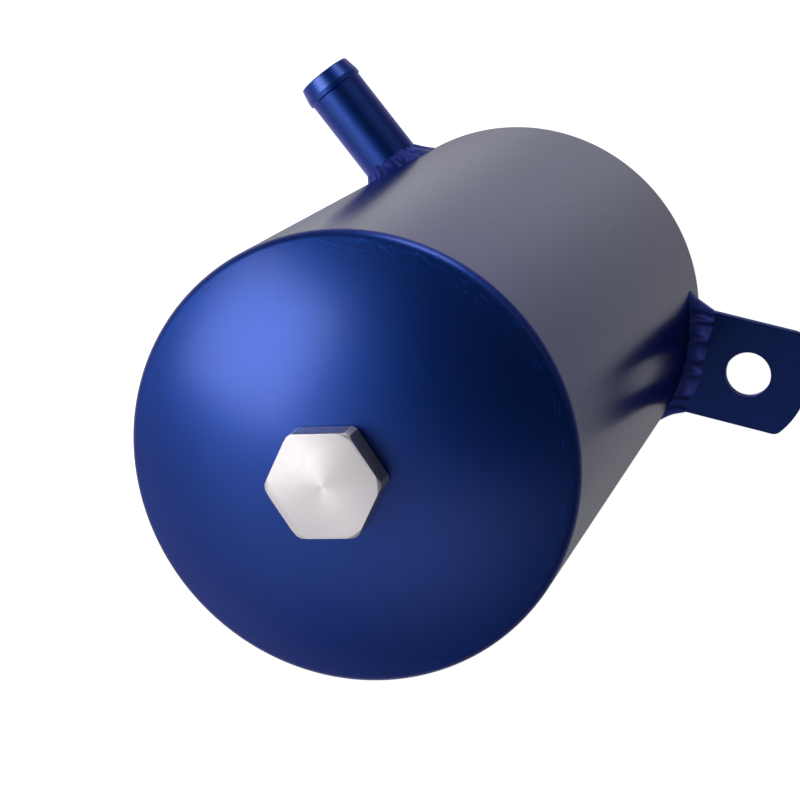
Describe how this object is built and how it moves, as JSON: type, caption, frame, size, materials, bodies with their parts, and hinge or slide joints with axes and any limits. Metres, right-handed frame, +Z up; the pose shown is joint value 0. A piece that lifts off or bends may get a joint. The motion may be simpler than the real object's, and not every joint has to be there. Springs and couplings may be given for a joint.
{
  "type": "oil catch can",
  "caption": "Round welded aluminium oil catch can, anodised blue, with domed ends, hose spigots, a bracket plate and a hexagon drain plug.",
  "frame": {"origin": "centre of the bracket plate's bolt hole, on the plate's lower face", "axes": "+Z up along the can's axis, away from the drain plug; the bracket points along +Y, the hose spigots to either side of -Y"},
  "size_m": [0.089, 0.1157, 0.152],
  "materials": {
    "anodised": "satin blue anodised",
    "anodised_weld": "blue anodised over weld bead",
    "bare_metal": "turned, bare",
    "seal": "matt"
  },
  "bodies": {
    "can": {"body_tube": "anodised", "bottom_dome": "anodised", "bottom_seam_weld": "anodised_weld", "top_dome": "anodised", "top_seam_weld": "anodised_weld", "drain_bush": "anodised", "drain_bush_weld": "anodised_weld", "inlet_spigot": "anodised", "inlet_weld": "anodised_weld", "outlet_spigot": "anodised", "outlet_weld": "anodised_weld", "bracket_tab": "anodised", "bracket_weld": "anodised_weld"},
    "drain_washer": {"drain_washer": "seal"},
    "drain_plug": {"drain_plug": "bare_metal"}
  },
  "joints": [
    {"name": "drain_travel", "type": "slide", "parent": "can", "child": "drain_washer", "axis": [0, 0, -1], "range_m": [0, 0.00825]},
    {"name": "drain_turn", "type": "hinge", "parent": "drain_washer", "child": "drain_plug", "pos_m": [0, -0.0508, -0.1255], "axis": [0, 0, -1], "range_deg": [0, 1980]}
  ],
  "couplings": [
    {"joint": "drain_travel", "follows": "drain_turn", "m_per_rad": 0.00023873}
  ]
}
